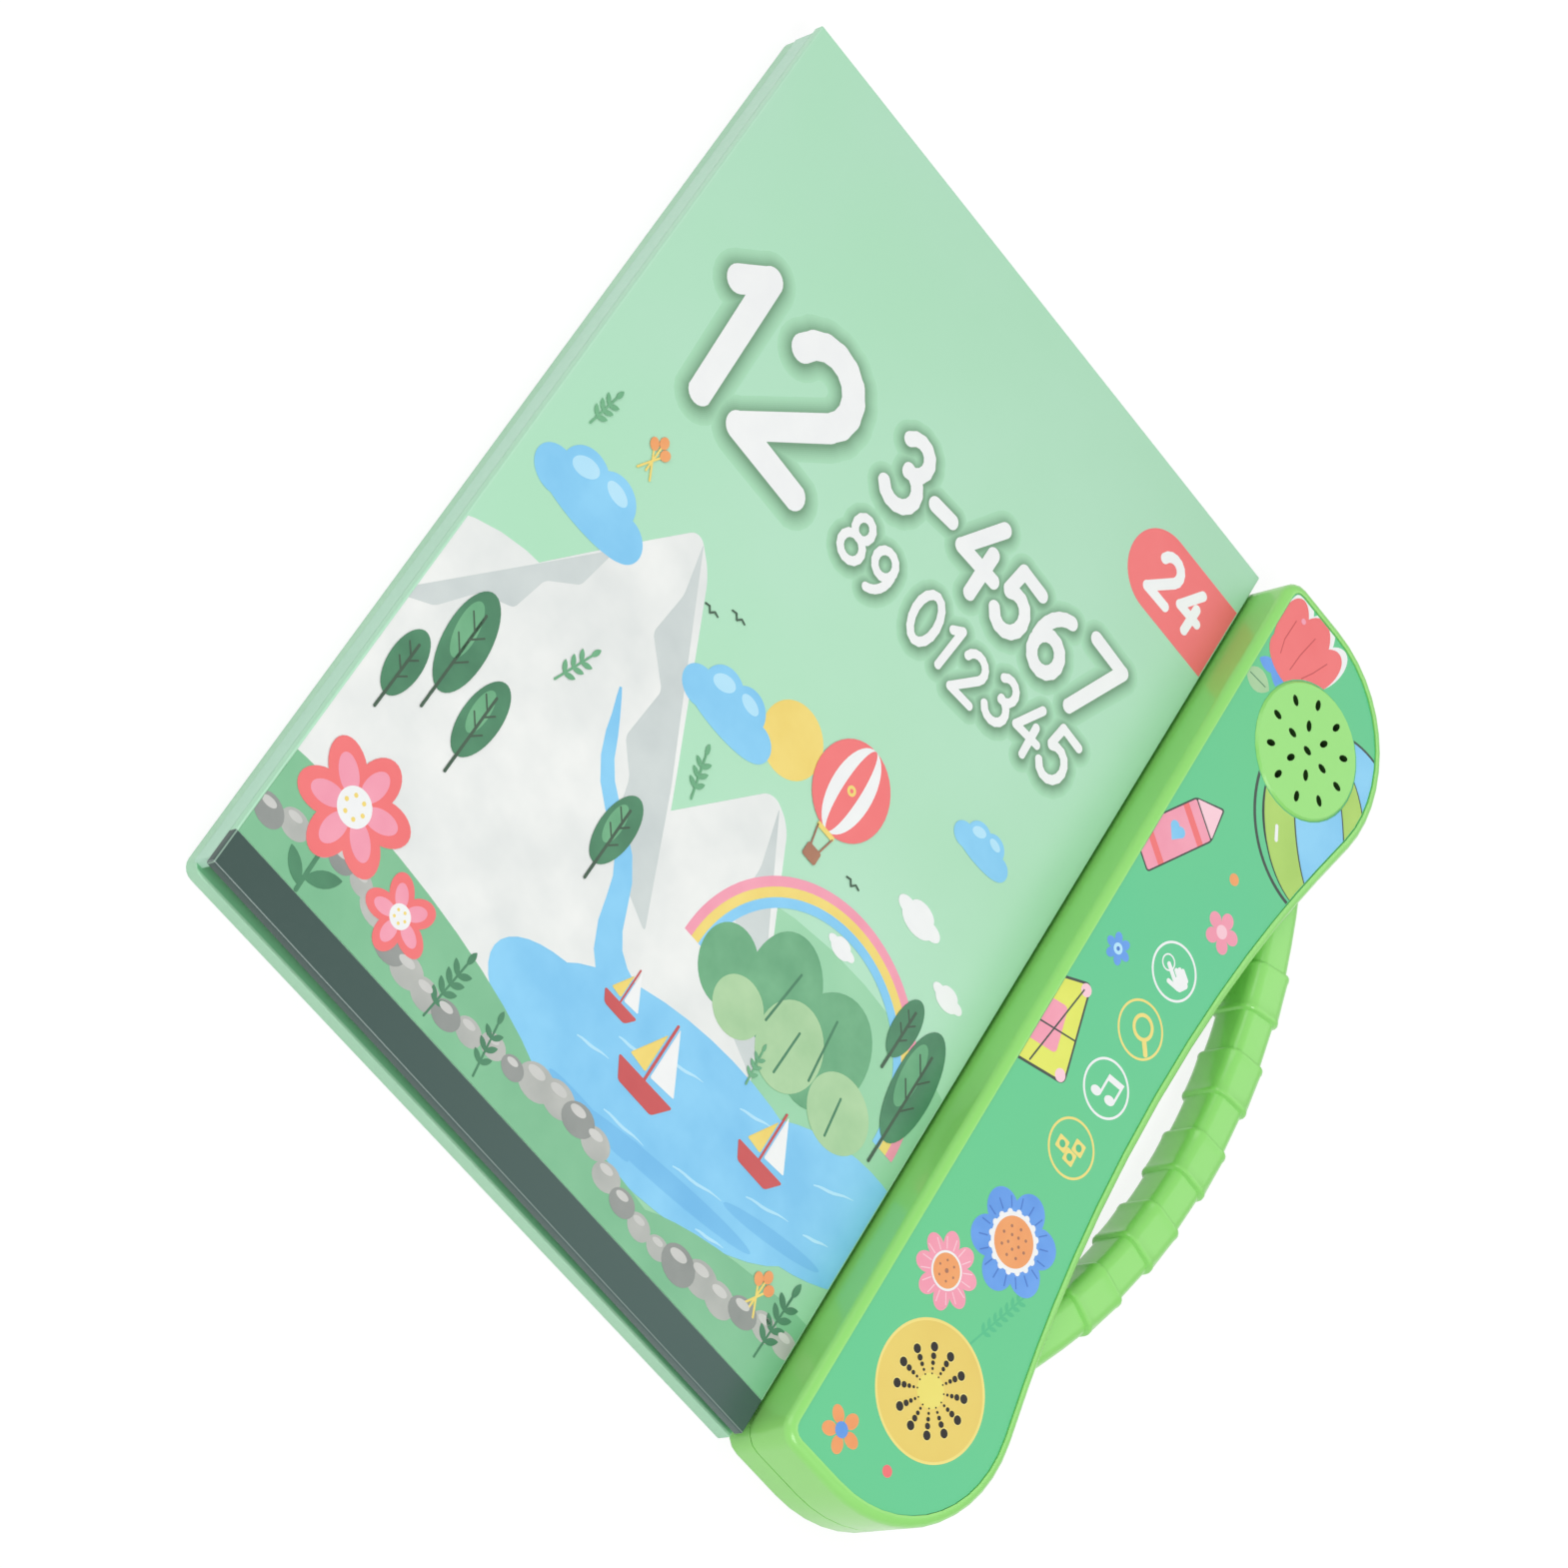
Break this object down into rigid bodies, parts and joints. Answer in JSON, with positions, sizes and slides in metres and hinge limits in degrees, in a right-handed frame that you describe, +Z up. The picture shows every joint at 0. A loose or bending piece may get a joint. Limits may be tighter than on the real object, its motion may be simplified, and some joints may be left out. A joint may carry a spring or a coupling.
{
  "type": "sound book",
  "caption": "Hard-cover book joined along its fore edge to a plastic sound bar with a printed touch panel, round speaker grille and banded carrying handle.",
  "frame": {"origin": "centre of the bounding box at the height of the surface that it lies on", "axes": "+X from the spine to the handle, +Y from the bottom edge of the book to its top edge, +Z up out of the front cover"},
  "size_m": [0.2286, 0.25, 0.0192],
  "materials": {
    "cover_print": "printed board with a satin film",
    "spine_print": "printed board with a satin film",
    "board_green": "printed board with a satin film",
    "page_paper": "matte paper",
    "membrane_film": "satin film",
    "lime_shell": "glossy moulded plastic",
    "lime_handle": "glossy moulded plastic",
    "panel_print": "printed satin label film",
    "speaker_steel": "plated steel",
    "cone_paper": "matte coated paper",
    "magnet_iron": "dull grey",
    "circuit_board": "solder-masked laminate",
    "black_epoxy": "black epoxy",
    "capacitor_sleeve": "shrunk sleeve",
    "switch_steel": "plated steel",
    "black_plastic": "fine satin",
    "cell_jacket": "satin jacket",
    "contact_steel": "nickel plate",
    "screw_steel": "nickel plate"
  },
  "bodies": {
    "book_and_bar": {"spine_board": "spine_print", "back_board": "board_green", "page_block": "page_paper", "touch_membrane": "membrane_film", "bottom_shell": "lime_shell", "top_shell": "lime_shell", "panel_overlay": "panel_print", "handle": "lime_handle", "speaker_frame": "speaker_steel", "speaker_cone": "cone_paper", "speaker_magnet": "magnet_iron", "main_board": "circuit_board", "sound_chip": "black_epoxy", "capacitor": "capacitor_sleeve", "touch_board": "circuit_board", "switch_body": "switch_steel", "battery_door": "lime_shell", "door_screw": "screw_steel", "cell_1": "cell_jacket", "plate_contact_1": "contact_steel", "spring_contact_1": "contact_steel", "cell_2": "cell_jacket", "plate_contact_2": "contact_steel", "spring_contact_2": "contact_steel", "cell_3": "cell_jacket", "plate_contact_3": "contact_steel", "spring_contact_3": "contact_steel", "shell_screw_1": "screw_steel", "shell_screw_2": "screw_steel", "shell_screw_3": "screw_steel", "shell_screw_4": "screw_steel", "shell_screw_5": "screw_steel", "shell_screw_6": "screw_steel", "shell_screw_7": "screw_steel"},
    "front_cover": {"front_board": "cover_print"},
    "switch_knob": {"switch_knob": "black_plastic"}
  },
  "joints": [
    {"name": "front_cover_hinge", "type": "hinge", "parent": "book_and_bar", "child": "front_cover", "pos_m": [-0.11435, 0, 0.01095], "axis": [0, -1, 0], "range_deg": [0, 180]},
    {"name": "power_switch", "type": "slide", "parent": "book_and_bar", "child": "switch_knob", "axis": [1, 0, 0], "range_m": [0, 0.003]}
  ]
}
